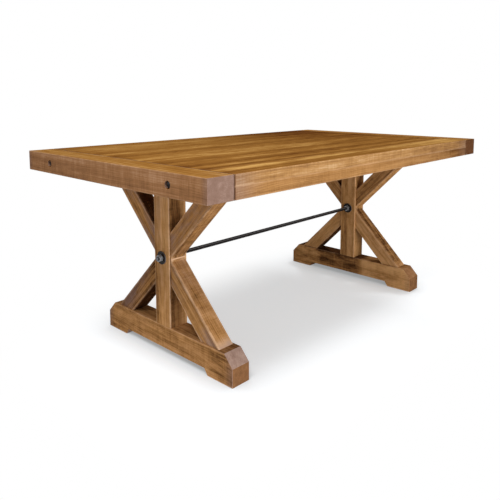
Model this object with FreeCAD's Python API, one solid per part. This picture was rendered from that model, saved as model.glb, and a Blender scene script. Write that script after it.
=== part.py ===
import FreeCAD, Part
import math
import os

# Dining table on two trestles, joined by an iron tie rod. Millimetres.
# X runs along the table, Y across it and Z up; the origin is on the floor under the middle.
# "near" is the -X end or the -Y side, "far" the other; "right" of a trestle is its -Y side.

# Overall sizes
table_height = 762.0
top_length = 1829.0
top_width = 1067.0

# Table top: boards along the table on rails that double the edge, between two end boards
board_thickness = 35.0
board_width_shares = (128, 134, 140, 132, 136, 138, 131, 128)
rail_depth = 41.0
rail_width = 70.0
end_board_width = 101.0
end_joint_gap = 3.0
tongue_thickness = 12.0
tongue_length = 22.0
tongue_inset = 30.0
groove_clearance = 0.3
groove_end_room = 1.0
top_arris_radius = 2.0

# Screws that hold the end boards, in counterbores in their outer faces
end_screw_inset = 172.5
end_screw_diameter = 10.0
end_screw_length = 150.0
end_screw_hex = 17.0
end_screw_head = 6.5
end_screw_bore = 26.0
end_screw_bore_depth = 14.0
end_washer_diameter = 24.0
end_washer_thickness = 2.0

# Trestles
trestle_end_inset = 289.5
member_arris_radius = 3.0

# Foot: a beam with sloping ends, raised between its two pads
foot_length = 750.0
foot_width = 83.0
foot_height = 110.0
foot_slope_run = 41.0
foot_slope_drop = 43.0
pad_length = 125.0
pad_height = 23.0
pad_step_run = 17.0

# Post, with a stub tenon at each end
post_width = 89.0
tenon_width = 45.0
tenon_thickness = 36.0
tenon_length = 48.0
tenon_clearance = 0.2
tenon_end_room = 2.0

# Top beam, under the boards
beam_depth = 85.0
beam_slope_run = 41.0
beam_slope_drop = 43.0

# Braces: bars that meet end to end at the middle of the post, where they stand proud of it
brace_width = 68.0
brace_setback = 7.0
foot_past_brace = 72.0
beam_past_brace = 72.0
waist_flat_height = 22.0
waist_proud = 3.5

# Dowels at both ends of each brace
dowel_diameter = 12.0
dowel_length = 56.0
dowel_clearance = 0.1
dowel_end_room = 1.0

# Tie rod through both posts, with a washer and a nut on each side of each post
rod_diameter = 16.0
rod_bore_clearance = 0.5
rod_end_past_nut = 7.0
rod_end_chamfer = 2.0
rod_washer_diameter = 50.0
rod_washer_thickness = 4.0
rod_nut_hex = 24.0
rod_nut_height = 14.0
nut_corner_chamfer = 1.5
thread_clearance = 0.1

# Screws that hold the beams to the boards, from below
beam_screw_brace_gap = 5.0
beam_screw_offset = 100.0
beam_screw_diameter = 8.0
beam_screw_length = 70.0
beam_screw_hex = 13.0
beam_screw_head = 5.5
beam_screw_bore = 22.0
beam_screw_bore_depth = 34.0
beam_washer_diameter = 20.0
beam_washer_thickness = 2.0

screw_hole_clearance = 0.1
screw_tip_length = 8.0
screw_hole_end_room = 1.0
head_chamfer = 0.8
overrun = 60.0

# Places worked out from the sizes
edge_thickness = board_thickness + rail_depth
board_underside = table_height - board_thickness
edge_underside = table_height - edge_thickness
field_half = top_length / 2 - end_board_width - end_joint_gap
foot_top = foot_height
beam_underside = board_underside - beam_depth
waist_height = (foot_top + beam_underside) / 2
post_half = post_width / 2
foot_half = foot_width / 2
brace_thickness = foot_width - 2 * brace_setback
waist_flat_low = waist_height - waist_flat_height / 2
toe_reach = foot_length / 2 - foot_past_brace
brace_slope = (waist_flat_low - foot_top) / (toe_reach - post_half - waist_proud)
brace_top = waist_flat_low + waist_proud * brace_slope
brace_low = brace_top - brace_width / math.cos(math.atan(brace_slope))
heel_reach = post_half + (brace_low - foot_top) / brace_slope
beam_length = 2 * (toe_reach + beam_past_brace)
trestle_spacing = top_length - 2 * trestle_end_inset
tongue_middle = board_underside + board_thickness / 2
end_screw_height = table_height - edge_thickness / 2
trestle_places = {"near": -trestle_spacing / 2, "far": trestle_spacing / 2}
side_signs = {"left": 1, "right": -1}

X_AXIS = FreeCAD.Vector(1, 0, 0)
Y_AXIS = FreeCAD.Vector(0, 1, 0)
Z_AXIS = FreeCAD.Vector(0, 0, 1)


def box(x_low, x_high, y_low, y_high, z_low, z_high):
    """A block between two corners."""
    corner = FreeCAD.Vector(x_low, y_low, z_low)
    return Part.makeBox(x_high - x_low, y_high - y_low, z_high - z_low, corner)


def slab(outline, x_low, x_high):
    """A prism along X whose outline is a list of (y, z) points."""
    points = [FreeCAD.Vector(x_low, y, z) for y, z in outline]
    face = Part.Face(Part.makePolygon(points + points[:1]))
    return face.extrude(FreeCAD.Vector(x_high - x_low, 0, 0))


def parallel(edge, direction):
    """True when a straight edge runs along the direction."""
    run = edge.Vertexes[-1].Point - edge.Vertexes[0].Point
    return run.Length > 0 and abs(run.dot(direction)) > run.Length * direction.Length * (1 - 1e-6)


def highest(edge):
    """Height of an edge's upper end."""
    return max(vertex.Point.z for vertex in edge.Vertexes)


def lowest(edge):
    """Height of an edge's lower end."""
    return min(vertex.Point.z for vertex in edge.Vertexes)


def rounded(solid, radius, wanted):
    """The solid with the wanted edges rounded."""
    return solid.makeFillet(radius, [edge for edge in solid.Edges if wanted(edge)])


def cylinder(diameter, start, direction, length):
    """A round bar from a point along a direction."""
    return Part.makeCylinder(diameter / 2, length, start, direction)


def hexagon(across, height, start, direction, chamfer):
    """A six-sided head or nut with its corners turned down."""
    corner = across / math.sqrt(3)
    ring = [FreeCAD.Vector(corner * math.cos(k * math.pi / 3), corner * math.sin(k * math.pi / 3), 0)
            for k in range(6)]
    prism = Part.Face(Part.makePolygon(ring + ring[:1])).extrude(FreeCAD.Vector(0, 0, height))
    turned = Part.makeCylinder(corner, height)
    turned = turned.makeChamfer(chamfer, [turned.Edges[0], turned.Edges[2]])
    shape = prism.common(turned)
    shape.Placement = FreeCAD.Placement(start, FreeCAD.Rotation(Z_AXIS, direction))
    return shape


def washer(outer, bore, thickness, start, direction):
    """A flat ring."""
    hole_start = start - direction * overrun
    hole = cylinder(bore, hole_start, direction, 2 * overrun + thickness)
    return cylinder(outer, start, direction, thickness).cut(hole)


def coach_screw(diameter, length, hex_width, head, seat, direction):
    """A hex-headed wood screw; its head stands on the seat and its shank runs along the direction."""
    shank = cylinder(diameter, seat, direction, length - screw_tip_length)
    tip = Part.makeCone(diameter / 2, 0, screw_tip_length,
                        seat + direction * (length - screw_tip_length), direction)
    top = hexagon(hex_width, head, seat - direction * head, direction, head_chamfer)
    return top.fuse([shank, tip]).removeSplitter()


def screw_hole(diameter, length, bore, bore_depth, entry, direction):
    """What a coach screw needs: a counterbore from the entry point and a hole for the shank."""
    wide = cylinder(bore, entry - direction * overrun, direction, overrun + bore_depth)
    narrow_length = bore_depth + length + screw_hole_end_room
    narrow = cylinder(diameter + 2 * screw_hole_clearance, entry, direction, narrow_length)
    return wide.fuse(narrow)


def end_screw_places():
    """Entry point and direction of each screw through an end board."""
    reach = top_width / 2 - end_screw_inset
    return [(FreeCAD.Vector(-end * top_length / 2, side * reach, end_screw_height), X_AXIS * end)
            for end in (1, -1) for side in (-1, 1)]


def end_screw_holes():
    """The holes of all the end board screws."""
    length = end_screw_length + end_washer_thickness
    holes = [screw_hole(end_screw_diameter, length, end_screw_bore, end_screw_bore_depth, entry, way)
             for entry, way in end_screw_places()]
    return Part.makeCompound(holes)


def beam_screw_places():
    """Entry point of each screw that runs up through a beam into the boards."""
    outer = toe_reach + beam_screw_brace_gap + beam_screw_bore / 2
    return [FreeCAD.Vector(x, y, beam_underside) for x in trestle_places.values()
            for y in (-outer, -beam_screw_offset, beam_screw_offset, outer)]


def beam_screw_holes():
    """The holes of all the beam screws."""
    length = beam_screw_length + beam_washer_thickness
    holes = [screw_hole(beam_screw_diameter, length, beam_screw_bore, beam_screw_bore_depth, entry, Z_AXIS)
             for entry in beam_screw_places()]
    return Part.makeCompound(holes)


def top_boards():
    """The boards of the top, from the near side to the far side, each with a tongue at both ends."""
    boards = []
    share_sum = sum(board_width_shares)
    holes = Part.makeCompound([end_screw_holes(), beam_screw_holes()])
    y_low = -top_width / 2
    for number, share in enumerate(board_width_shares):
        y_high = y_low + top_width * share / share_sum
        board = box(-field_half, field_half, y_low, y_high, board_underside, table_height)
        outer_y = {0: y_low, len(board_width_shares) - 1: y_high}.get(number)
        if outer_y is not None:
            board = rounded(board, top_arris_radius, lambda edge: parallel(edge, X_AXIS)
                            and abs(edge.CenterOfMass.y - outer_y) < top_arris_radius / 2
                            and edge.CenterOfMass.z > tongue_middle)
        tongue = box(-field_half - tongue_length, field_half + tongue_length,
                     max(y_low, tongue_inset - top_width / 2), min(y_high, top_width / 2 - tongue_inset),
                     tongue_middle - tongue_thickness / 2, tongue_middle + tongue_thickness / 2)
        boards.append(board.fuse(tongue).removeSplitter().cut(holes))
        y_low = y_high
    return boards


def end_board(end):
    """A full-thickness board across one end of the top; end is -1 for the near one."""
    outer = end * top_length / 2
    inner = end * (top_length / 2 - end_board_width)
    shape = box(min(outer, inner), max(outer, inner), -top_width / 2, top_width / 2,
                edge_underside, table_height)
    shape = rounded(shape, top_arris_radius, lambda edge: abs(edge.CenterOfMass.x - inner) > top_arris_radius
                    or parallel(edge, Y_AXIS))
    depth = tongue_length - end_joint_gap + groove_end_room
    groove_reach = top_width / 2 - tongue_inset + groove_clearance
    groove_half = tongue_thickness / 2 + groove_clearance
    floor = inner + end * depth
    mouth = inner - end * overrun
    groove = box(min(floor, mouth), max(floor, mouth), -groove_reach, groove_reach,
                 tongue_middle - groove_half, tongue_middle + groove_half)
    return shape.cut(groove).cut(end_screw_holes())


def side_rail(side):
    """The strip under the outer board that doubles the edge along one side."""
    outer = side * top_width / 2
    inner = side * (top_width / 2 - rail_width)
    shape = box(-field_half, field_half, min(outer, inner), max(outer, inner), edge_underside, board_underside)
    return rounded(shape, top_arris_radius, lambda edge: parallel(edge, X_AXIS)
                   and edge.CenterOfMass.z < edge_underside + top_arris_radius)


def end_rail(end):
    """The strip under the ends of the boards, between the side rails."""
    outer = end * field_half
    inner = end * (field_half - rail_width)
    reach = top_width / 2 - rail_width
    shape = box(min(outer, inner), max(outer, inner), -reach, reach, edge_underside, board_underside)
    return shape.cut(end_screw_holes())


def foot_outline():
    """Side view of a foot, as (y, z) points."""
    half = foot_length / 2
    right = [(half - pad_length - pad_step_run, pad_height), (half - pad_length, 0), (half, 0),
             (half, foot_top - foot_slope_drop), (half - foot_slope_run, foot_top)]
    return right + [(-y, z) for y, z in reversed(right)]


def mortise(x_middle, z_from, z_to):
    """The space for a post's tenon."""
    half_x = tenon_thickness / 2 + tenon_clearance
    half_y = tenon_width / 2 + tenon_clearance
    return box(x_middle - half_x, x_middle + half_x, -half_y, half_y, z_from, z_to)


def foot(x_middle):
    """A foot of one trestle."""
    shape = slab(foot_outline(), x_middle - foot_half, x_middle + foot_half)
    shape = rounded(shape, member_arris_radius, lambda edge: not parallel(edge, X_AXIS)
                    and highest(edge) > pad_height + member_arris_radius)
    shape = shape.cut(mortise(x_middle, foot_top - tenon_length - tenon_end_room, foot_top + overrun))
    return shape.cut(dowel_holes(x_middle))


def beam(x_middle):
    """The beam that joins the top of one trestle to the boards."""
    half = beam_length / 2
    outline = [(half - beam_slope_run, beam_underside), (half, beam_underside + beam_slope_drop),
               (half, board_underside)]
    outline += [(-y, z) for y, z in reversed(outline)]
    shape = slab(outline, x_middle - foot_half, x_middle + foot_half)
    shape = rounded(shape, member_arris_radius, lambda edge: not parallel(edge, X_AXIS)
                    and lowest(edge) < board_underside - member_arris_radius)
    shape = shape.cut(mortise(x_middle, beam_underside - overrun,
                              beam_underside + tenon_length + tenon_end_room))
    return shape.cut(Part.makeCompound([dowel_holes(x_middle), beam_screw_holes()]))


def post(x_middle):
    """The post of one trestle, between foot and beam, with its tenons and the bore of the rod."""
    body = box(x_middle - foot_half, x_middle + foot_half, -post_half, post_half, foot_top, beam_underside)
    body = rounded(body, member_arris_radius, lambda edge: parallel(edge, Z_AXIS))
    tenon = box(x_middle - tenon_thickness / 2, x_middle + tenon_thickness / 2,
                -tenon_width / 2, tenon_width / 2, foot_top - tenon_length, beam_underside + tenon_length)
    bore_start = FreeCAD.Vector(x_middle - foot_half - overrun, 0, waist_height)
    bore = cylinder(rod_diameter + 2 * rod_bore_clearance, bore_start, X_AXIS, foot_width + 2 * overrun)
    shape = body.fuse(tenon).removeSplitter().cut(bore)
    return shape.cut(dowel_holes(x_middle))


def lower_left_bar(x_middle):
    """The lower brace on the +Y side of a trestle, before its dowel holes."""
    half = brace_thickness / 2
    nose = post_half + waist_proud
    outline = [(post_half, waist_height), (nose, waist_height), (nose, waist_flat_low),
               (toe_reach, foot_top), (heel_reach, foot_top), (post_half, brace_low)]
    bar = slab(outline, x_middle - half, x_middle + half)
    along = FreeCAD.Vector(0, 1, -brace_slope)
    return rounded(bar, member_arris_radius, lambda edge: parallel(edge, along)
                   or (parallel(edge, Z_AXIS) and edge.CenterOfMass.y > post_half + waist_proud / 2))


def place_four(shape, x_middle):
    """The four braces, or their dowels, from the lower one on the +Y side."""
    middle = FreeCAD.Vector(x_middle, 0, waist_height)
    copies = {}
    for side, sign in side_signs.items():
        lower = shape if sign > 0 else shape.mirror(middle, Y_AXIS)
        copies["lower_" + side] = lower
        copies["upper_" + side] = lower.mirror(middle, Z_AXIS)
    return copies


def dowel_pair(x_middle, diameter, end_room):
    """The dowels at the two ends of one lower brace: one in the foot, one in the post."""
    length = dowel_length + 2 * end_room
    foot_y = (toe_reach + heel_reach) / 2
    post_z = (brace_top + brace_low) / 2
    into_foot = FreeCAD.Vector(x_middle, foot_y, foot_top - length / 2)
    into_post = FreeCAD.Vector(x_middle, post_half - length / 2, post_z)
    return Part.makeCompound([cylinder(diameter, into_foot, Z_AXIS, length),
                              cylinder(diameter, into_post, Y_AXIS, length)])


def dowels(x_middle):
    """All eight dowels of one trestle."""
    groups = place_four(dowel_pair(x_middle, dowel_diameter, 0), x_middle)
    return [solid for group in groups.values() for solid in group.Solids]


def dowel_holes(x_middle):
    """The holes for the dowels of one trestle."""
    pair = dowel_pair(x_middle, dowel_diameter + 2 * dowel_clearance, dowel_end_room)
    return Part.makeCompound(list(place_four(pair, x_middle).values()))


def braces(x_middle):
    """The four braces of one trestle, by name."""
    holes = dowel_holes(x_middle)
    bars = place_four(lower_left_bar(x_middle), x_middle)
    return {name: bar.cut(holes) for name, bar in bars.items()}


def rod_fittings():
    """The tie rod, its washers and its nuts."""
    washers = []
    nuts = []
    bore = rod_diameter + 2 * thread_clearance
    for x_middle in trestle_places.values():
        for way in (-1, 1):
            direction = X_AXIS * way
            seat = FreeCAD.Vector(x_middle + way * foot_half, 0, waist_height)
            washers.append(washer(rod_washer_diameter, bore, rod_washer_thickness, seat, direction))
            nut_seat = seat + direction * rod_washer_thickness
            nut = hexagon(rod_nut_hex, rod_nut_height, nut_seat, direction, nut_corner_chamfer)
            hole = cylinder(bore, nut_seat - direction * overrun, direction, 2 * overrun)
            nuts.append(nut.cut(hole))
    reach = trestle_spacing / 2 + foot_half + rod_washer_thickness + rod_nut_height + rod_end_past_nut
    rod = cylinder(rod_diameter, FreeCAD.Vector(-reach, 0, waist_height), X_AXIS, 2 * reach)
    rod = rod.makeChamfer(rod_end_chamfer, [edge for edge in rod.Edges if edge.Closed])
    return rod, washers, nuts


def end_screws():
    """The end board screws and their washers."""
    screws = []
    washers = []
    for entry, way in end_screw_places():
        head_seat = entry + way * (end_screw_bore_depth - end_washer_thickness)
        bore = end_screw_diameter + 2 * screw_hole_clearance
        washers.append(washer(end_washer_diameter, bore, end_washer_thickness, head_seat, way))
        screws.append(coach_screw(end_screw_diameter, end_screw_length, end_screw_hex, end_screw_head,
                                  head_seat, way))
    return screws, washers


def beam_screws():
    """The beam screws and their washers."""
    screws = []
    washers = []
    for entry in beam_screw_places():
        head_seat = entry + Z_AXIS * (beam_screw_bore_depth - beam_washer_thickness)
        bore = beam_screw_diameter + 2 * screw_hole_clearance
        washers.append(washer(beam_washer_diameter, bore, beam_washer_thickness, head_seat, Z_AXIS))
        screws.append(coach_screw(beam_screw_diameter, beam_screw_length, beam_screw_hex, beam_screw_head,
                                  head_seat, Z_AXIS))
    return screws, washers


def all_nodes():
    """Every sub-part by name, each as a shape or a list of like shapes."""
    nodes = {}
    for number, board in enumerate(top_boards(), start=1):
        nodes["top_board_%d" % number] = board
    for name, sign in (("near", -1), ("far", 1)):
        nodes["end_board_" + name] = end_board(sign)
        nodes["side_rail_" + name] = side_rail(sign)
        nodes["end_rail_" + name] = end_rail(sign)
    pegs = []
    for name, x_middle in trestle_places.items():
        nodes["foot_" + name] = foot(x_middle)
        nodes["post_" + name] = post(x_middle)
        nodes["beam_" + name] = beam(x_middle)
        for place, bar in braces(x_middle).items():
            nodes["brace_%s_%s" % (name, place)] = bar
        pegs += dowels(x_middle)
    nodes["brace_dowels"] = pegs
    nodes["tie_rod"], nodes["rod_washers"], nodes["rod_nuts"] = rod_fittings()
    nodes["end_board_screws"], nodes["end_board_washers"] = end_screws()
    nodes["beam_screws"], nodes["beam_washers"] = beam_screws()
    return nodes


def main():
    os.makedirs("parts", exist_ok=True)
    for name, shape in all_nodes().items():
        solids = shape if isinstance(shape, list) else [shape]
        solids = [solid for piece in solids for solid in piece.Solids]
        whole = solids[0] if len(solids) == 1 else Part.makeCompound(solids)
        whole.exportStep("parts/%s.step" % name)
        volume = sum(solid.Volume for solid in solids) / 1000
        print("%-26s %2d solids %9.1f cm3 valid %s" % (name, len(solids), volume, whole.isValid()))


main()
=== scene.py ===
import math
from typing import NamedTuple

import bmesh
import bpy
from mathutils import Euler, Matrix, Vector


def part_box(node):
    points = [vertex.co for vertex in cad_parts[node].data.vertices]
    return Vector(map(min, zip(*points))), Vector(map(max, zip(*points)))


bl_info = {
    "name": "Trestle Table Finishes",
    "version": (1, 0, 0),
    "blender": (4, 5, 0),
    "location": "View3D > Sidebar > Table",
    "description": "Stains the wood and blackens the iron of a trestle dining table, and lights it",
    "category": "Object",
}

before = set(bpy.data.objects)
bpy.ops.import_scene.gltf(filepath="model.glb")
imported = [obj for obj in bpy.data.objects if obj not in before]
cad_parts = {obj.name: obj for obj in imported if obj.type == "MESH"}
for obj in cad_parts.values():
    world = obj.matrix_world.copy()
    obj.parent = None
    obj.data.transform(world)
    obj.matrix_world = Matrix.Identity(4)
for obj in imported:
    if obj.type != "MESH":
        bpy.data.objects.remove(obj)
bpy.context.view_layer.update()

MM = 0.001
X = Vector((1, 0, 0))
Y = Vector((0, 1, 0))
Z = Vector((0, 0, 1))
ENDS = ("near", "far")

# The tongues of the boards run this far past their shoulders, into the end boards
TONGUE = 22.0
# The braces lean at this angle
BRACE_LEAN = math.radians(45)
# The wood of one board lies this far from that of the next in the patterns, in mm
BOARD_STEP = Vector((1710.0, 930.0, 570.0))
# The pith of the growth rings wanders this far, and the rub along an arris, for each unit of their patterns, in mm
PITH_DRIFT = 60.0
RAGGED = 60.0
# Stripes that run the length of the top: from and to, in mm from its near long edge, and lightness
STRIPES = ((4, 66, -0.10), (76, 114, 0.24), (124, 150, -0.14), (160, 194, 0.08), (204, 254, -0.15), (266, 304, 0.08),
           (322, 376, -0.09), (392, 490, 0.12), (500, 560, -0.07), (592, 642, -0.13), (662, 704, 0.10),
           (730, 790, -0.07), (960, 1060, -0.10))
# Each top board's lightness, and how much darker its face gets towards the far end, from the near edge on
BOARD_TONES = ((0.06, -0.24), (-0.02, 0.0), (0.01, 0.07), (0.07, 0.24), (0.07, 0.27), (0.07, 0.34), (0.11, 0.49),
               (0.13, 0.52))
# The lightness of each piece of a trestle and of its narrow faces, at the near trestle and at the far one. Part
# of it is painted light and shade: the posts and the far braces are lighter to stand in for light under the top,
# and most narrow faces of the posts and braces and the far foot's top face are darker as painted shade
TRESTLE_TONES = {
    "foot_%s": ((-0.04, 0.05), (-0.37, 0.44)),
    "post_%s": ((0.15, -0.16), (0.16, -0.09)),
    "beam_%s": ((0.0, 0.0), (0.0, 0.0)),
    "brace_%s_lower_left": ((-0.14, -0.34), (0.26, -0.56)),
    "brace_%s_lower_right": ((0.02, 0.03), (0.30, -0.51)),
    "brace_%s_upper_left": ((0.08, -0.43), (0.08, -0.42)),
    "brace_%s_upper_right": ((0.02, -0.08), (0.0, 0.0)),
}
# How far the arrises are rubbed, where not as far as on the other pieces
RUBBED = {"post_near": 0.9, "foot_near": 0.3, "foot_far": 0.3, "brace_near_lower_right": 0.6,
          "brace_near_upper_right": 0.35}
# Marks in the tone of the trestles, each from and to in mm from the piece's middle, and lightness: stripes across
# the grain's width, blots along the grain and bands on the narrow faces, out of the broad one. The near post's
# blots and bands, the near lower right brace's blot and the far foot's blots are painted light and shade: darker
# where the braces and the top shade them, lighter where light reaches past them
POST_STRIPES = ((2, 60, -0.10), (-40, -4, 0.06))
BLOTS = {"post_near": ((-300, -40, -0.08), (40, 300, 0.08)),
         "brace_near_lower_right": ((40, 300, 0.08),),
         "foot_near": ((-400, -290, -0.12), (-94, 94, 0.05)),
         "foot_far": ((-86, 90, -0.24), (94, 190, -0.30), (-400, -86, 0.26))}
BANDS = {"post_near": ((-60, -34, -0.10), (-60, -18, -0.14), (12, 60, 0.22), (30, 60, 0.26))}
# The pieces' numbers in the patterns start from these; the top boards' from 1
RAIL_SEED = 11
END_BOARD_SEED = 21
TRESTLE_SEEDS = (31, 41)
# A painted highlight lies along the line of the rod's skin that faces this way
ROD_HIGHLIGHT_SIDE = (0.0, -0.77, 0.64)
# Each lamp's place, aim, width and height in metres
LAMPS = {"key": ((-0.5, -3.9, 0.55), (0, 0, 0.4), 2.6, 0.9),
         "near": ((-2.1, -1.0, 3.3), (-0.6, -0.1, 0.4), 0.9, 0.9),
         "far": ((2.6, 0.2, 3.3), (0.6, 0, 0.4), 0.9, 0.9),
         "fill": ((-3.6, -0.6, 0.9), (0, 0, 0.4), 1.6, 1.0)}
# The floor keeps the shadow within these half sizes of this place, and loses it over this distance, in metres
SHADOW_PLACE = (0.0, -0.06, 0.0)
SHADOW_HALF = (0.66, 0.23, 0.0)
SHADOW_FADE = 0.5
# A painted contact shadow darkens it within this many metres of what stands on it, and by this share where nothing
# but that is overhead
CONTACT_REACH = 0.13
CONTACT_DEPTH = 0.5
# Colour of the paper as the camera sees it, and the glow added to it, which together come out white in full light
PAPER_LIT = (0.68, 0.71, 0.74, 1)
PAPER_GLOW = (0.96, 0.985, 1.0, 1)
PAPER_GLOW_LEVEL = 0.51
# The paper's radius in metres
FLOOR_RADIUS = 30.0

MATH = "ShaderNodeMath"
VECTOR = "ShaderNodeVectorMath"
RANGE = "ShaderNodeMapRange"
NOISE = "ShaderNodeTexNoise"
RAMP = "ShaderNodeValToRGB"
MIX = "ShaderNodeMix"


def paint(hex_colour):
    """A colour written as sRGB hex, as linear red, green and blue."""
    channels = [int(hex_colour[i:i + 2], 16) / 255 for i in (1, 3, 5)]
    return tuple(c / 12.92 if c <= 0.04045 else ((c + 0.055) / 1.055) ** 2.4 for c in channels)


def colour(name, description, hex_colour):
    """A colour that a user can change."""
    return bpy.props.FloatVectorProperty(name=name, description=description, subtype="COLOR",
                                         size=3, min=0, max=1, default=paint(hex_colour))


def length(name, description, millimetres, least, most):
    """A length that a user can change."""
    return bpy.props.FloatProperty(name=name, description=description, unit="LENGTH", precision=4,
                                   default=millimetres * MM, min=least * MM, max=most * MM)


class TopStain(bpy.types.PropertyGroup):
    """Stain on the upper faces of the top."""
    dark: colour("Dark", "Tone of the darkest streaks", "#5E3616")
    middle: colour("Middle", "Tone of most of the wood", "#91632D")
    light: colour("Light", "Tone of the palest streaks", "#C69958")


class EdgeStain(bpy.types.PropertyGroup):
    """Stain on the side faces of the boards."""
    dark: colour("Dark", "Tone of the darkest streaks", "#7C5634")
    middle: colour("Middle", "Tone of most of the wood", "#B28552")
    light: colour("Light", "Tone of the palest streaks", "#DCBA90")


class EndBoardStain(bpy.types.PropertyGroup):
    """Stain on the side faces of the end boards."""
    dark: colour("Dark", "Tone of the darkest streaks", "#5A3C28")
    middle: colour("Middle", "Tone of most of the wood", "#926845")
    light: colour("Light", "Tone of the palest streaks", "#BE9674")


class RailStain(bpy.types.PropertyGroup):
    """Stain on the rails under the edges of the top."""
    dark: colour("Dark", "Tone of the darkest streaks", "#6E4724")
    middle: colour("Middle", "Tone of most of the wood", "#B0814E")
    light: colour("Light", "Tone of the palest streaks", "#CDA272")


class TrestleStain(bpy.types.PropertyGroup):
    """Stain on the trestles."""
    dark: colour("Dark", "Tone of the darkest streaks", "#4A2D18")
    middle: colour("Middle", "Tone of most of the wood", "#B0804E")
    light: colour("Light", "Tone of the palest streaks", "#DCAA72")


class EndGrainStain(bpy.types.PropertyGroup):
    """Stain on the ends across the grain, near the camera's corner."""
    dark: colour("Dark", "Tone of the darkest streaks", "#6E5040")
    middle: colour("Middle", "Tone of most of the wood", "#8C7062")
    light: colour("Light", "Tone of the palest streaks", "#BDA294")


class DarkEndStain(bpy.types.PropertyGroup):
    """Stain on the ends that drank more of it."""
    dark: colour("Dark", "Tone of the darkest streaks", "#3A2416")
    middle: colour("Middle", "Tone of most of the wood", "#66422A")
    light: colour("Light", "Tone of the palest streaks", "#9A7354")


class WoodSizes(bpy.types.PropertyGroup):
    """How large the figure of the wood is."""
    ring: length("Growth ring", "Width of one growth ring", 6.0, 1, 20)
    streak: length("Streak", "Width of a colour streak", 16.0, 5, 100)
    fibre: length("Fibre", "Width of a bundle of fibres", 3.0, 0.5, 10)
    mottle: length("Mottle", "Length of a dark or pale patch", 120.0, 20, 500)
    saw_mark: length("Saw mark", "Spacing of the saw marks", 10.0, 1, 20)
    arris: length("Worn arris", "Width of the wear along an edge", 6.0, 1, 20)


class StageSettings(bpy.types.PropertyGroup):
    """Camera and lamps."""
    eye: bpy.props.FloatVectorProperty(name="Camera place", description="Where the camera stands",
                                       subtype="TRANSLATION", unit="LENGTH", size=3,
                                       default=(-1.8807, -1.6096, 0.9844))
    heading: bpy.props.FloatProperty(name="Heading", description="Compass angle of the view, from +X towards +Y",
                                     subtype="ANGLE", unit="ROTATION", default=math.radians(43.515))
    dip: bpy.props.FloatProperty(name="Dip", description="Angle of the view below the horizon",
                                 subtype="ANGLE", unit="ROTATION", default=math.radians(6.678))
    lens: bpy.props.FloatProperty(name="Lens", description="Focal length on a 36 mm sensor, in mm",
                                  default=39.17, min=10, max=200)
    frame_drop: bpy.props.FloatProperty(name="Frame drop", description="How far the frame sits below the lens axis, "
                                        "as a share of its width", default=0.183, min=0, max=0.5)
    key_power: bpy.props.FloatProperty(name="Key lamp", description="Power of the low wide lamp on the right",
                                       unit="POWER", default=80.0, min=0)
    near_power: bpy.props.FloatProperty(name="Near lamp", description="Power of the high lamp over the near end",
                                        unit="POWER", default=78.0, min=0)
    far_power: bpy.props.FloatProperty(name="Far lamp", description="Power of the high lamp over the far end",
                                       unit="POWER", default=55.0, min=0)
    fill_power: bpy.props.FloatProperty(name="Fill lamp", description="Power of the weak lamp on the left",
                                        unit="POWER", default=9.0, min=0)
    sky: bpy.props.FloatProperty(name="Room light", description="Level of the light from all sides",
                                 default=0.30, min=0, max=2)


class TableSettings(bpy.types.PropertyGroup):
    """All that a user would change."""
    top: bpy.props.PointerProperty(type=TopStain, name="Top", description="Upper faces of the top")
    edge: bpy.props.PointerProperty(type=EdgeStain, name="Edge", description="Side faces of the top")
    rail: bpy.props.PointerProperty(type=RailStain, name="Rails", description="Rails under the edges of the top")
    trestle: bpy.props.PointerProperty(type=TrestleStain, name="Trestles", description="Faces of the trestles")
    end_board: bpy.props.PointerProperty(type=EndBoardStain, name="End boards", description="Sides of the end boards")
    end_grain: bpy.props.PointerProperty(type=EndGrainStain, name="End grain", description="Ends across the grain")
    dark_end: bpy.props.PointerProperty(type=DarkEndStain, name="Dark ends", description="Darker ends across the grain")
    sizes: bpy.props.PointerProperty(type=WoodSizes, name="Figure", description="Size of the wood's figure")
    stage: bpy.props.PointerProperty(type=StageSettings, name="Stage", description="Camera and lamps")
    rubbed: colour("Rubbed wood", "Where the stain is rubbed off the arrises", "#E8C09A")
    iron: colour("Iron", "Blackened iron of the tie rod and its fittings", "#262628")
    # The rubbed iron also carries painted highlights on the rod and washers; the rubbed nuts are both wear and a
    # painted highlight
    iron_rub_and_highlight: colour("Rubbed iron", "Where the black is rubbed thin", "#7C7C80")
    nut_rub_and_highlight: colour("Rubbed nuts", "Where a spanner rubbed the nuts", "#C2C4C8")
    screw: colour("Screws", "Blackened steel of the screws", "#1C1816")
    dowel: colour("Dowels", "Plain beech of the dowels", "#C9A06E")
    floor: colour("Floor", "Pale paper floor", "#DEDEE0")


def add(tree, kind, inputs=(), out=0, stops=(), **settings):
    """Adds a node and gives the output named by out. inputs holds a value, or the output that feeds it, for each
    of the node's inputs, in order or by name. stops are the places and tones of a colour ramp."""
    node = tree.nodes.new(kind)
    for name, value in settings.items():
        setattr(node, name, value)
    for name, value in dict(inputs if isinstance(inputs, dict) else enumerate(inputs)).items():
        if isinstance(value, bpy.types.NodeSocket):
            tree.links.new(value, node.inputs[name])
        else:
            node.inputs[name].default_value = value
    for number, (place, tone) in enumerate(stops):
        elements = node.color_ramp.elements
        element = elements[number] if number < len(elements) else elements.new(place)
        element.position = place
        element.color = (*tone, 1)
    return node.outputs[out] if node.outputs else node


def new_material(name):
    """An empty node material and its tree."""
    material = bpy.data.materials.new(name)
    material.use_nodes = True
    material.node_tree.nodes.clear()
    return material, material.node_tree


def dress(node_name, material):
    """Gives one CAD node a material in all its slots."""
    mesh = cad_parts[node_name].data
    mesh.materials.clear()
    mesh.materials.append(material)


class Lie(NamedTuple):
    """How one piece of wood lies in the table."""
    along: Vector  # Direction of the grain
    across: Vector  # Direction across the broad face
    out: Vector  # Direction out of the broad face
    middle: Vector  # Middle of the piece, in mm
    half: Vector  # Half sizes in those three directions, in mm
    hidden: float  # How much of each end is hidden in a joint, in mm


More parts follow.
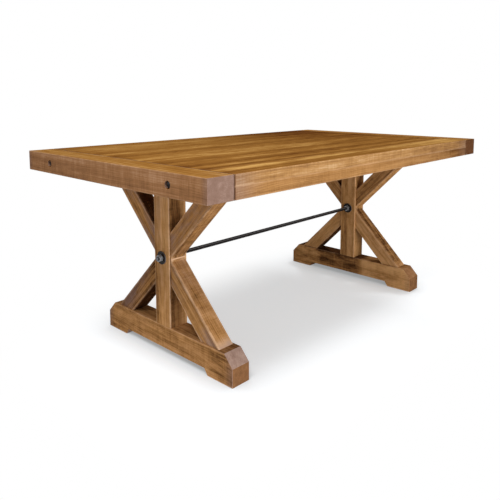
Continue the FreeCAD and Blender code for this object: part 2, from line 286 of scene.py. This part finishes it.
class Look(NamedTuple):
    """How one piece of wood looks. A stain is a group of a dark, a middle and a light tone. Lightness is a step on
    the scale from its dark tone, 0, to its light one, 1."""
    face: bpy.types.PropertyGroup  # Stain of the broad faces
    side: bpy.types.PropertyGroup  # Stain of the narrow faces
    end: bpy.types.PropertyGroup  # Stain of the square ends
    slope: bpy.types.PropertyGroup  # Stain of the sloping ends
    seed: int  # Which board the piece was sawn from
    light: float = 0.0  # Lightness of the whole piece
    side_light: float = 0.0  # How much lighter the narrow faces are
    rings: float = 0.14  # Strength of the growth rings
    fibres: float = 0.7  # Strength of the fibres
    mottle: float = 0.3  # Strength of the small patches
    saw_marks: float = 0.3  # Strength of the saw marks
    wear: float = 0.8  # How far the arrises are rubbed
    rough: float = 1.0  # How rough the wood feels
    grey: float = 1.0  # How much stain that went grey lies in patches
    blush: float = 34.0  # How many mm of the ends are greyer
    toe: float = 0.0  # How much lighter the narrow faces are there
    end_shade: float = 0.0  # How much darker the broad faces are near the ends
    one_end: bool = False  # Whether only the end that along points to is so
    end_light: float = 0.0  # How much lighter the end grain is
    far: float = 0.0  # How much darker the narrow faces get towards the far end
    far_face: float = 0.0  # How much darker the broad faces get towards the far end
    mitre: float = None  # Height in mm at which the piece is mitred, if it is
    fade: float = 1.0  # How much of the stripes is left at the far end
    bore_shade: float = 0.0  # How dark the painted shade in the holes is
    slope_light: float = 0.0  # How much lighter the sloping ends are
    scuff: float = 0.0  # How ragged the rub on the arrises is
    seam: float = 0.0  # How dark the last few mm of the narrow faces are


def lie_of(node_name, along, across, out, hidden=0.0):
    """The lie of a CAD node whose faces are square to the three directions."""
    low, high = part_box(node_name)
    middle = (Vector(low) + Vector(high)) / 2 / MM
    half = (Vector(high) - Vector(low)) / 2 / MM
    spans = Vector([sum(abs(way[i]) * half[i] for i in range(3)) for way in (along, across, out)])
    return Lie(along, across, out, middle, spans, hidden)


def brace_lie(node_name):
    """The lie of a brace, by its name: its middle and sizes measured on its own corners, and its width on those of
    one broad face at the end away from the waist, where nothing of its joints sticks out."""
    along = Vector((0, math.cos(BRACE_LEAN) if node_name.endswith("left") else -math.cos(BRACE_LEAN),
                    math.sin(BRACE_LEAN) if "upper" in node_name else -math.sin(BRACE_LEAN)))
    across = X.cross(along)
    corners = [vertex.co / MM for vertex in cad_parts[node_name].data.vertices]
    face = min(corner.x for corner in corners) + 0.01
    outer_end = max(corner.dot(along) for corner in corners) - 100.0
    plain = [corner for corner in corners if corner.x < face and corner.dot(along) > outer_end]
    spans = []
    middle = Vector((0, 0, 0))
    for way in (along, across, X):
        reach = [corner.dot(way) for corner in (plain if way is across else corners)]
        spans.append((max(reach) - min(reach)) / 2)
        middle += way * (max(reach) + min(reach)) / 2
    return Lie(along, across, X, middle, Vector(spans), 0.0)


def draw_patterns(tree, local, seed, sizes):
    """The uneven patterns of one piece of wood, by name. Each averages 0."""
    streak, fibre, mottle, saw_mark = (getattr(sizes, size) / MM for size in ("streak", "fibre", "mottle", "saw_mark"))
    # Length, width and depth of the grains in mm, then detail and roughness. The fibres and flecks of real pine are
    # finer, and are drawn as coarse as shows.
    patterns = {"drift_across": (420, 110, 110, 1, 0.5), "drift_out": (560, 130, 130, 1, 0.5),
                "fibres": (140, fibre, fibre, 3, 0.6), "flecks": (22, fibre / 2, fibre / 2, 2, 0.6),
                "streaks": (700, streak, streak, 3, 0.6), "patches": (2.2 * mottle, 70, 70, 2, 0.5),
                "mottles": (mottle / 2, mottle / 6, mottle / 6, 4, 0.65), "scuffs": (14, 9, 9, 2, 0.6),
                "saw_marks": (saw_mark / 2, 70, 70, 2, 0.6), "saw_bands": (2.5 * saw_mark, 90, 90, 3, 0.6)}
    seeded = add(tree, VECTOR, (local, BOARD_STEP * seed), operation="ADD")
    drawn = {}
    for pattern, (*grains, detail, roughness) in patterns.items():
        scaled = add(tree, VECTOR, (seeded, [1 / size for size in grains]), operation="MULTIPLY")
        noise = add(tree, NOISE, {"Vector": scaled, "Scale": 1.0, "Detail": detail, "Roughness": roughness})
        drawn[pattern] = add(tree, MATH, (noise, 0.5), operation="SUBTRACT")
    return drawn


def growth_rings(tree, along, across, out, drawn, seed, ring):
    """Growth rings, 1 at their dark late wood. They run round a pith that lies outside the piece and drifts along
    it, and no two are equally wide."""
    pith_across = 60 + 45 * math.sin(seed * 2.3)
    pith_out = -150 - 90 * math.cos(seed * 1.7)
    lean = add(tree, MATH, (along, 0.05 * math.sin(seed * 3.1), across), operation="MULTIPLY_ADD")
    from_pith = add(tree, "ShaderNodeCombineXYZ", {1: add(tree, MATH, (lean, pith_across), operation="SUBTRACT"),
                                                   2: add(tree, MATH, (out, pith_out), operation="SUBTRACT")})
    drift = add(tree, "ShaderNodeCombineXYZ", {1: drawn["drift_across"], 2: drawn["drift_out"]})
    from_pith = add(tree, VECTOR, (drift, (PITH_DRIFT,) * 3, from_pith), operation="MULTIPLY_ADD")
    radius = add(tree, VECTOR, (from_pith,), "Value", operation="LENGTH")
    spacing = add(tree, NOISE, {"W": add(tree, MATH, (radius, 5 * ring), operation="DIVIDE"), "Scale": 1.0,
                                "Detail": 1.0}, noise_dimensions="1D")
    turns = add(tree, MATH, (spacing, 2.0, add(tree, MATH, (radius, ring), operation="DIVIDE")),
                operation="MULTIPLY_ADD")
    return add(tree, RAMP, (add(tree, MATH, (turns,), operation="FRACT"),),
               stops=((0, (0, 0, 0)), (0.55, (0.25,) * 3), (0.86, (1, 1, 1)), (1, (0, 0, 0))))


def rub_arrises(tree, place, from_arris, drawn, lie, look, arris):
    """How far the stain is rubbed off: along the arrises, here and there less, and along the mitre, where the pale
    line is both rubbed wear and a painted highlight on the joint's arris.
    """
    ragged = add(tree, MATH, (drawn["scuffs"], RAGGED * look.scuff, from_arris), operation="MULTIPLY_ADD")
    near_arris = add(tree, RANGE, (ragged, 0.0, arris, 1.0, 0.0), interpolation_type="SMOOTHSTEP")
    chafed = add(tree, MATH, (drawn["mottles"], 2.6, 0.75), operation="MULTIPLY_ADD", use_clamp=True)
    worn = add(tree, MATH, (add(tree, MATH, (near_arris, chafed), operation="MULTIPLY"), look.wear),
               operation="MULTIPLY")
    if look.mitre is None:
        return worn
    # The pale line along the mitre is both rubbed wear and a painted highlight on the joint's arris
    height = add(tree, VECTOR, (place, Z), "Value", operation="DOT_PRODUCT")
    from_mitre = add(tree, MATH, (height, look.mitre - lie.middle.z), operation="SUBTRACT")
    from_mitre = add(tree, MATH, (from_mitre,), operation="ABSOLUTE")
    mitre_wear_and_highlight = add(tree, RANGE, (from_mitre, 0.0, 0.7 * arris, 1.0, 0.0), interpolation_type="SMOOTHSTEP")
    return add(tree, MATH, (worn, mitre_wear_and_highlight), operation="MAXIMUM")


def add_marks(tree, tone, marks, way, wander, soft, where):
    """A tone with soft-edged marks on it: each from and to one way, in mm, and a lightness. wander bends them."""
    wavy = add(tree, MATH, (wander, 3.5 * soft, way), operation="MULTIPLY_ADD")
    for low, high, lightness in marks:
        off = add(tree, MATH, (wavy, (low + high) / 2), operation="SUBTRACT")
        off = add(tree, MATH, (off,), operation="ABSOLUTE")
        half = (high - low) / 2
        inside = add(tree, RANGE, (off, half - soft, half + soft, lightness, 0.0), interpolation_type="SMOOTHSTEP")
        tone = add(tree, MATH, (inside, where, tone), operation="MULTIPLY_ADD")
    return tone


def sawn_wood(name, lie, look, table, stripes=(), blots=(), bands=()):
    """Softwood, sawn, stained amber and oiled: growth rings, long streaks, patches where the stain took unevenly,
    fibres and saw marks. The finish is quite dull, without a highlight, greyer where the end grain drank the stain,
    and paler where the arrises are rubbed. stripes run along the piece, each from and to across it in mm and a
    lightness. blots are the same, from and to along it, and bands, on the narrow faces alone, from and to out of
    it."""
    material, tree = new_material(name)
    arris = table.sizes.arris / MM

    # The place on the piece in millimetres, along its grain, across it and out of its broad face
    place = add(tree, "ShaderNodeTexCoord", out="Object")
    place = add(tree, VECTOR, (place, (1 / MM,) * 3), operation="MULTIPLY")
    place = add(tree, VECTOR, (place, lie.middle), operation="SUBTRACT")
    along, across, out = (add(tree, VECTOR, (place, way), "Value", operation="DOT_PRODUCT")
                          for way in (lie.along, lie.across, lie.out))
    local = add(tree, "ShaderNodeCombineXYZ", (along, across, out))
    drawn = draw_patterns(tree, local, look.seed, table.sizes)
    late_wood = growth_rings(tree, along, across, out, drawn, look.seed, table.sizes.ring / MM)

    # Which way a face looks tells a broad face, a narrow face and an end apart; the limits are cosines
    normal = add(tree, "ShaderNodeTexCoord", out="Normal")
    facing_out, facing_end, facing_square = (
        add(tree, RANGE, (add(tree, MATH, (add(tree, VECTOR, (normal, way), "Value", operation="DOT_PRODUCT"),),
                              operation="ABSOLUTE"), low, high, 0.0, 1.0), interpolation_type="SMOOTHSTEP")
        for way, low, high in ((lie.out, 0.75, 0.85), (lie.along, 0.55, 0.68), (lie.along, 0.8, 0.95)))
    edgewise = add(tree, MATH, (1.0, facing_out), operation="SUBTRACT")

    # How far a point is from the faces and from the ends
    from_side, from_face, from_end = (
        add(tree, MATH, (reach, add(tree, MATH, (way,), operation="ABSOLUTE")), operation="SUBTRACT")
        for reach, way in ((lie.half.y, across), (lie.half.z, out), (lie.half.x - lie.hidden, along)))
    if look.one_end:
        facing_end = facing_square
        from_end = add(tree, MATH, (lie.half.x, along), operation="SUBTRACT")
    from_arris = add(tree, MATH, (from_side, from_face), operation="ADD")
    worn = rub_arrises(tree, place, from_arris, drawn, lie, look, arris)

    # Light and shade that change along the piece; half is how far its middle is from its end
    half = lie.half.x
    end_blush, end_shade, far_shade, far_face, seam = (
        add(tree, RANGE, (way, *limits), interpolation_type="SMOOTHSTEP")
        for way, *limits in ((from_end, 0.0, look.blush, 0.6, 0.0), (from_end, 0.0, 110.0, -look.end_shade, 0.0),
                             (along, 0.0, half, 0.0, -look.far), (along, -150.0, 650.0, 0.0, -look.far_face),
                             (from_end, 3.0, 6.0, look.seam, 0.0)))
    end_blush = add(tree, MATH, (end_blush, edgewise), operation="MULTIPLY")
    seam = add(tree, MATH, (seam, edgewise), operation="MULTIPLY")

    # The tone of the wood is a sum of patterns and shades, each with its share
    tone = add(tree, MATH, (edgewise, look.side_light, 0.5 + look.light), operation="MULTIPLY_ADD")
    sawn = add(tree, MATH, (edgewise, 0.6 * look.saw_marks, 0.4 * look.saw_marks), operation="MULTIPLY_ADD")
    for level, share in ((drawn["streaks"], 0.8), (drawn["patches"], 0.4), (drawn["mottles"], look.mottle),
                         (drawn["fibres"], look.fibres), (drawn["saw_marks"], sawn), (drawn["saw_bands"], sawn),
                         (end_shade, facing_out), (end_blush, look.toe), (late_wood, -look.rings),
                         (far_shade, edgewise), (far_face, facing_out)):
        tone = add(tree, MATH, (level, share, tone), operation="MULTIPLY_ADD")
    fading = add(tree, RANGE, (along, 0.0, half, 1.0, look.fade))
    broken = add(tree, MATH, (drawn["patches"], 3.0, fading), operation="MULTIPLY_ADD")
    for marks, way, wander, soft, where in ((stripes, across, "drift_across", 7, broken),
                                            (blots, along, "mottles", 26, broken),
                                            (bands, out, "drift_out", 5, edgewise)):
        if marks:
            tone = add_marks(tree, tone, marks, way, drawn[wander], soft, where)
    # Painted shade: points deeper than the outer faces, inside the holes, are darkened
    depth = add(tree, MATH, (from_side, from_face), operation="MINIMUM")
    depth = add(tree, MATH, (depth, from_end), operation="MINIMUM")
    painted_bore_shade = add(tree, RANGE, (depth, 0.5, 3.0, 0.0, look.bore_shade))
    for shade in (painted_bore_shade, seam):
        tone = add(tree, MATH, (tone, shade), operation="SUBTRACT")
    dark_flecks = add(tree, RANGE, (drawn["flecks"], -0.28, -0.14, 1.0, 0.0), interpolation_type="SMOOTHSTEP")
    tone = add(tree, MATH, (dark_flecks, -0.2, tone), operation="MULTIPLY_ADD", use_clamp=True)

    # The tone picks the colour on each face's own stain; drunk is wood that took too much stain and went grey
    end_tone = add(tree, MATH, (tone, 0.5, 0.25 + look.end_light), operation="MULTIPLY_ADD")
    slope_tone = add(tree, MATH, (end_tone, look.slope_light), operation="ADD")
    drunk_tone = add(tree, MATH, (tone, 0.14), operation="SUBTRACT")
    side, face, end, slope, drunk = (
        add(tree, RAMP, (level,), stops=((0.05, stain.dark), (0.5, stain.middle), (0.95, stain.light)))
        for level, stain in ((tone, look.side), (tone, look.face), (end_tone, look.end), (slope_tone, look.slope),
                             (drunk_tone, look.slope)))
    end = add(tree, MIX, {0: facing_square, 6: slope, 7: end}, 2, data_type="RGBA")
    grey = add(tree, MATH, (drawn["patches"], 0.09), operation="ADD")
    grey = add(tree, MATH, (drawn["mottles"], 0.6, grey), operation="MULTIPLY_ADD")
    broad = add(tree, MATH, (facing_out, 0.7, 0.3), operation="MULTIPLY_ADD")
    grey = add(tree, MATH, (grey, broad), operation="MULTIPLY")
    greyed = add(tree, MATH, (grey, look.grey, end_blush), operation="MULTIPLY_ADD", use_clamp=True)
    stained = side
    for share, other in ((facing_out, face), (greyed, drunk), (facing_end, end), (worn, (*table.rubbed, 1))):
        stained = add(tree, MIX, {0: share, 6: stained, 7: other}, 2, data_type="RGBA")

    # Late wood and fibres stand proud, flecks are hollow, and the saw leaves shallow ridges; heights in millimetres
    height = add(tree, MATH, (late_wood, 0.1), operation="MULTIPLY")
    for level, rise in ((drawn["fibres"], 0.6), (drawn["saw_marks"], 0.9 * look.rough), (dark_flecks, -0.15)):
        height = add(tree, MATH, (level, rise, height), operation="MULTIPLY_ADD")
    bump = add(tree, "ShaderNodeBump", {"Height": height, "Strength": 1.0, "Distance": MM * look.rough})
    roughness = add(tree, MATH, (drawn["fibres"], 0.25, 0.66), operation="MULTIPLY_ADD")
    shader = add(tree, "ShaderNodeBsdfPrincipled",
                 {"Base Color": stained, "Roughness": roughness, "Normal": bump, "Specular IOR Level": 0.0})
    add(tree, "ShaderNodeOutputMaterial", {"Surface": shader})
    return material


def black_iron(name, base, rubbed, roughness, share=0.4, patch=30.0, ridge_highlight=0.0, rim_highlight=0.0, face=0.0):
    """Iron, forged and blackened with wax: near black and satin, with a fine scale and a grey rub in patches, in
    mm, on a share of it, where hands and spanners reach it; on the nuts that rub is both spanner wear and a
    painted highlight. The last three arguments are painted highlights: how far it is lightened along a line on
    its upper side, all round the rod's axis, and square to that axis."""
    material, tree = new_material(name)
    place = add(tree, "ShaderNodeTexCoord", out="Object")
    forge_scale = add(tree, NOISE, {"Vector": place, "Scale": 1 / (6 * MM), "Detail": 4.0, "Roughness": 0.6})
    patches = add(tree, NOISE, {"Vector": place, "Scale": 1 / (patch * MM), "Detail": 2.0})
    rub = add(tree, RANGE, (patches, 0.75 - 0.6 * share, 0.95 - 0.6 * share, 0.0, 1.0),
              interpolation_type="SMOOTHSTEP")
    rub = add(tree, MATH, (rub, forge_scale), operation="MULTIPLY")
    normal = add(tree, "ShaderNodeTexCoord", out="Normal")
    # Painted highlight: a pale line along the rod's upper side
    toward_highlight = add(tree, VECTOR, (normal, ROD_HIGHLIGHT_SIDE), "Value", operation="DOT_PRODUCT")
    line = add(tree, RANGE, (toward_highlight, 0.97, 0.995, 0.0, ridge_highlight), interpolation_type="SMOOTHSTEP")
    rub = add(tree, MATH, (rub, line), operation="MAXIMUM")
    # Painted highlights round the sides and on the faces square to the rod's axis
    endwise = add(tree, MATH, (add(tree, VECTOR, (normal, X), "Value", operation="DOT_PRODUCT"),),
                  operation="ABSOLUTE")
    turned = add(tree, RANGE, (endwise, 0.4, 0.8, rim_highlight, face), interpolation_type="SMOOTHSTEP")
    rub = add(tree, MATH, (rub, turned), operation="MAXIMUM")
    shade = add(tree, MIX, {0: rub, 6: (*base, 1), 7: (*rubbed, 1)}, 2, data_type="RGBA")
    bump = add(tree, "ShaderNodeBump", {"Height": forge_scale, "Strength": 0.5, "Distance": 0.2 * MM})
    uneven = add(tree, MATH, (forge_scale, 0.2, roughness - 0.1), operation="MULTIPLY_ADD")
    shader = add(tree, "ShaderNodeBsdfPrincipled",
                 {"Base Color": shade, "Metallic": 0.4, "Normal": bump, "Roughness": uneven,
                  "Specular IOR Level": 0.12})
    add(tree, "ShaderNodeOutputMaterial", {"Surface": shader})
    return material


class TABLE_OT_stain_boards(bpy.types.Operator):
    """Stain the boards of the top and the rails under their edges"""
    bl_idname = "table.stain_boards"
    bl_label = "Stain the boards"

    def execute(self, context):
        table = context.scene.trestle_table
        near_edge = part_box("end_board_near")[0][1] / MM
        for number, (light, far_face) in enumerate(BOARD_TONES, start=1):
            node = "top_board_%d" % number
            lie = lie_of(node, X, Y, Z, TONGUE)
            shift = near_edge - lie.middle.y
            stripes = [(low + shift, high + shift, lightness) for low, high, lightness in STRIPES
                       if low + shift < lie.half.y and high + shift > -lie.half.y]
            outer = number in (1, len(BOARD_TONES))
            look = Look(table.top, table.edge, table.end_grain, table.end_grain, number, light=light,
                        side_light=-light if outer else 0.0, fibres=0.5, mottle=0.55, saw_marks=0.25,
                        wear=0.15 if outer else 0.0, rough=0.6, grey=0.0, blush=150.0, toe=0.25, end_shade=0.14,
                        far=0.22, far_face=far_face, fade=0.35, seam=1.0)
            dress(node, sawn_wood("Amber stained pine, board %d" % number, lie, look, table, stripes))
        for seed, end in enumerate(ENDS, start=RAIL_SEED):
            look = Look(table.rail, table.rail, table.end_grain, table.end_grain, seed, light=-0.04, fibres=0.4,
                        saw_marks=0.2, wear=0.3, blush=150.0, toe=0.12, far=0.20, seam=1.0)
            for kind, along, across in (("side_rail_", X, Y), ("end_rail_", Y, X)):
                lie = lie_of(kind + end, along, across, Z)
                dress(kind + end, sawn_wood("Amber stained pine, %s%s" % (kind, end), lie, look, table))
        return {"FINISHED"}


class TABLE_OT_stain_end_boards(bpy.types.Operator):
    """Stain the two end boards, whose grain runs across the table"""
    bl_idname = "table.stain_end_boards"
    bl_label = "Stain the end boards"

    def execute(self, context):
        table = context.scene.trestle_table
        for seed, end in enumerate(ENDS, start=END_BOARD_SEED):
            node = "end_board_" + end
            ends = table.end_grain if end == "near" else table.dark_end
            look = Look(table.top, table.end_board, ends, ends, seed, light=0.12, side_light=-0.11, rings=0.09,
                        fibres=0.4, wear=0.2, saw_marks=0.3, rough=0.8, grey=0.6, bore_shade=1.0)
            dress(node, sawn_wood("Amber stained pine, end board %s" % end, lie_of(node, Y, X, Z), look, table))
        return {"FINISHED"}


class TABLE_OT_stain_trestles(bpy.types.Operator):
    """Stain the feet, posts, beams and braces"""
    bl_idname = "table.stain_trestles"
    bl_label = "Stain the trestles"

    def execute(self, context):
        table = context.scene.trestle_table
        for group, end in enumerate(ENDS):
            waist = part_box("brace_%s_lower_left" % end)[1][2] / MM
            square = table.end_board
            slope = (table.end_grain, table.end_board)[group]
            for number, (piece, tones) in enumerate(TRESTLE_TONES.items()):
                node = piece % end
                # Part of these steps is painted light and shade for faces under the top and the braces
                light, side_light = tones[group]
                brace = node.startswith("brace")
                look = Look(table.trestle, table.trestle, square, slope, TRESTLE_SEEDS[group] + number, light=light,
                            side_light=side_light, fibres=0.5, mottle=(0.7, 1.1)[group],
                            saw_marks=0.45 if brace else 0.3, wear=RUBBED.get(node, 0.25 if brace else 0.5),
                            grey=(4.2, 1.4)[group] if brace else 1.2, blush=45.0, toe=0.9 if brace else 0.0,
                            one_end=brace, end_light=(-0.01, -0.30)[group], slope_light=(0.24, 0.12)[group],
                            scuff=0.1 if brace else 0.0, mitre=waist if brace and end == "near" else None)
                if brace:
                    lie = brace_lie(node)
                elif node.startswith("post"):
                    lie = lie_of(node, Z, Y, X)
                else:
                    lie = lie_of(node, Y, X, Z)
                # The blots and bands of the near post, the near lower right brace and the far foot are painted light
                # and shade
                stripes = POST_STRIPES if node.startswith("post") else ()
                dress(node, sawn_wood("Rough sawn pine, %s" % node, lie, look, table, stripes, BLOTS.get(node, ()),
                                      BANDS.get(node, ())))
        return {"FINISHED"}


class TABLE_OT_blacken_iron(bpy.types.Operator):
    """Blacken the tie rod with its washers and nuts, and the screws"""
    bl_idname = "table.blacken_iron"
    bl_label = "Blacken the iron"

    def execute(self, context):
        table = context.scene.trestle_table
        # The rod's pale line and ends, the washers' pale edges and the nuts' pale facets are painted highlights
        dress("tie_rod", black_iron("Blackened iron, rod", table.screw, table.iron_rub_and_highlight, 0.5, 0.0, ridge_highlight=0.7,
                                    face=0.8))
        dress("rod_washers", black_iron("Blackened iron, washers", table.screw, table.iron_rub_and_highlight, 0.42, 0.15, rim_highlight=0.8))
        dress("rod_nuts", black_iron("Blackened iron, rubbed nuts", table.iron, table.nut_rub_and_highlight, 0.3, 0.8, 9.0, rim_highlight=0.3,
                                     face=0.15))
        screws = black_iron("Blackened steel, screws", table.screw, table.iron_rub_and_highlight, 0.55, 0.3)
        for node in ("end_board_screws", "end_board_washers", "beam_screws", "beam_washers"):
            dress(node, screws)
        return {"FINISHED"}


class TABLE_OT_finish_dowels(bpy.types.Operator):
    """Give the dowels plain beech"""
    bl_idname = "table.finish_dowels"
    bl_label = "Finish the dowels"

    def execute(self, context):
        table = context.scene.trestle_table
        material, tree = new_material("Turned beech, plain")
        place = add(tree, "ShaderNodeTexCoord", out="Object")
        flecks = add(tree, NOISE, {"Vector": place, "Scale": 1 / (3 * MM), "Detail": 3.0})
        shade = add(tree, RAMP, (flecks,), stops=((0.3, [0.75 * c for c in table.dowel]), (0.7, table.dowel)))
        shader = add(tree, "ShaderNodeBsdfPrincipled", {"Base Color": shade, "Roughness": 0.6})
        add(tree, "ShaderNodeOutputMaterial", {"Surface": shader})
        dress("brace_dowels", material)
        return {"FINISHED"}


def lamp(name, place, aim, width, height, power):
    """A soft rectangular lamp aimed at a point."""
    light = bpy.data.lights.new(name, "AREA")
    light.shape = "RECTANGLE"
    light.size = width
    light.size_y = height
    light.energy = power
    holder = bpy.data.objects.new(name, light)
    holder.location = place
    holder.rotation_euler = (Vector(aim) - Vector(place)).to_track_quat("-Z", "Y").to_euler()
    bpy.context.scene.collection.objects.link(holder)


def white_to_the_eye(tree):
    """1 for what the camera sees, straight, in metal or through glass, and 0 for what lights the table."""
    seen = 0.0
    for ray in ("Is Camera Ray", "Is Glossy Ray", "Is Transmission Ray"):
        seen = add(tree, MATH, (add(tree, "ShaderNodeLightPath", out=ray), seen), operation="ADD", use_clamp=True)
    return seen


def paper_floor(paper):
    """Seamless paper, matt and nearly white: it keeps the soft shadow under the table, takes a painted contact shadow
    where the feet meet it, and to the eye it runs out into plain white round it."""
    material, tree = new_material("Seamless paper")
    place = add(tree, "ShaderNodeTexCoord", out="Object")
    offset = add(tree, VECTOR, (place, SHADOW_PLACE), operation="SUBTRACT")
    offset = add(tree, VECTOR, (offset,), operation="ABSOLUTE")
    past = add(tree, VECTOR, (offset, SHADOW_HALF), operation="SUBTRACT")
    past = add(tree, VECTOR, (past, (0.0, 0.0, 0.0)), operation="MAXIMUM")
    distance = add(tree, VECTOR, (past,), "Value", operation="LENGTH")
    away = add(tree, RANGE, (distance, 0.0, SHADOW_FADE, 0.0, 1.0), interpolation_type="SMOOTHSTEP")
    lit = add(tree, "ShaderNodeBsdfDiffuse", {"Color": (*paper, 1)})
    bright = add(tree, "ShaderNodeBsdfDiffuse", {"Color": PAPER_LIT})
    glow = add(tree, "ShaderNodeEmission", {"Color": PAPER_GLOW, "Strength": PAPER_GLOW_LEVEL})
    white = add(tree, "ShaderNodeEmission", {"Color": (1, 1, 1, 1), "Strength": 1.0})
    look = add(tree, "ShaderNodeMixShader", (away, add(tree, "ShaderNodeAddShader", (bright, glow)), white))
    # Painted contact shadow: the paper is mixed towards black where little open sky is near
    open_sky = add(tree, "ShaderNodeAmbientOcclusion", {"Distance": CONTACT_REACH}, "AO", samples=16)
    contact = add(tree, MATH, (open_sky, -CONTACT_DEPTH, CONTACT_DEPTH), operation="MULTIPLY_ADD")
    black = add(tree, "ShaderNodeEmission", {"Color": (0, 0, 0, 1), "Strength": 0.0})
    look = add(tree, "ShaderNodeMixShader", (contact, look, black))
    shown = add(tree, "ShaderNodeMixShader", (white_to_the_eye(tree), lit, look))
    add(tree, "ShaderNodeOutputMaterial", {"Surface": shown})
    return material


def white_room(level):
    """World light that is even from all sides, and plain white to the eye and in reflections."""
    world = bpy.data.worlds.new("White room")
    world.use_nodes = True
    tree = world.node_tree
    tree.nodes.clear()
    lit = add(tree, "ShaderNodeBackground", {"Color": (1, 1, 1, 1), "Strength": level})
    white = add(tree, "ShaderNodeBackground", {"Color": (1, 1, 1, 1), "Strength": 1.0})
    shown = add(tree, "ShaderNodeMixShader", (white_to_the_eye(tree), lit, white))
    add(tree, "ShaderNodeOutputWorld", {"Surface": shown})
    bpy.context.scene.world = world


class TABLE_OT_set_stage(bpy.types.Operator):
    """Lay the floor, hang the lamps and place the camera"""
    bl_idname = "table.set_stage"
    bl_label = "Set the stage"

    def execute(self, context):
        table = context.scene.trestle_table
        stage = table.stage
        mesh = bpy.data.meshes.new("floor")
        shape = bmesh.new()
        bmesh.ops.create_circle(shape, cap_ends=True, segments=64, radius=FLOOR_RADIUS)
        bmesh.ops.translate(shape, verts=shape.verts, vec=(0, 0, -0.2 * MM))
        shape.to_mesh(mesh)
        shape.free()
        mesh.materials.append(paper_floor(table.floor))
        floor = bpy.data.objects.new("floor", mesh)
        context.scene.collection.objects.link(floor)
        white_room(stage.sky)
        for name, (place, aim, width, height) in LAMPS.items():
            lamp(name + "_lamp", place, aim, width, height, getattr(stage, name + "_power"))
        camera_data = bpy.data.cameras.new("camera")
        camera_data.sensor_width = 36.0
        camera_data.lens = stage.lens
        camera_data.shift_y = -stage.frame_drop
        camera = bpy.data.objects.new("camera", camera_data)
        camera.location = stage.eye
        camera.rotation_euler = Euler((math.pi / 2 - stage.dip, 0, stage.heading - math.pi / 2))
        context.scene.collection.objects.link(camera)
        context.scene.camera = camera
        context.scene.view_settings.view_transform = "Standard"
        return {"FINISHED"}


class TABLE_PT_finishes(bpy.types.Panel):
    """Finishes and stage of the table"""
    bl_idname = "TABLE_PT_finishes"
    bl_label = "Table"
    bl_space_type = "VIEW_3D"
    bl_region_type = "UI"
    bl_category = "Table"

    def draw(self, context):
        for operator in OPERATORS:
            self.layout.operator(operator.bl_idname)


OPERATORS = (TABLE_OT_stain_boards, TABLE_OT_stain_end_boards, TABLE_OT_stain_trestles, TABLE_OT_blacken_iron,
             TABLE_OT_finish_dowels, TABLE_OT_set_stage)
CLASSES = (TopStain, EdgeStain, EndBoardStain, RailStain, TrestleStain, EndGrainStain, DarkEndStain, WoodSizes,
           StageSettings, TableSettings) + OPERATORS + (TABLE_PT_finishes,)


def register():
    """Adds the classes and the settings to Blender."""
    for cls in CLASSES:
        bpy.utils.register_class(cls)
    bpy.types.Scene.trestle_table = bpy.props.PointerProperty(type=TableSettings)


def unregister():
    """Takes them away again."""
    del bpy.types.Scene.trestle_table
    for cls in reversed(CLASSES):
        bpy.utils.unregister_class(cls)


def main():
    """Dresses the table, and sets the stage."""
    register()
    bpy.ops.table.stain_boards()
    bpy.ops.table.stain_end_boards()
    bpy.ops.table.stain_trestles()
    bpy.ops.table.blacken_iron()
    bpy.ops.table.finish_dowels()
    bpy.ops.table.set_stage()


if __name__ == "__main__":
    main()
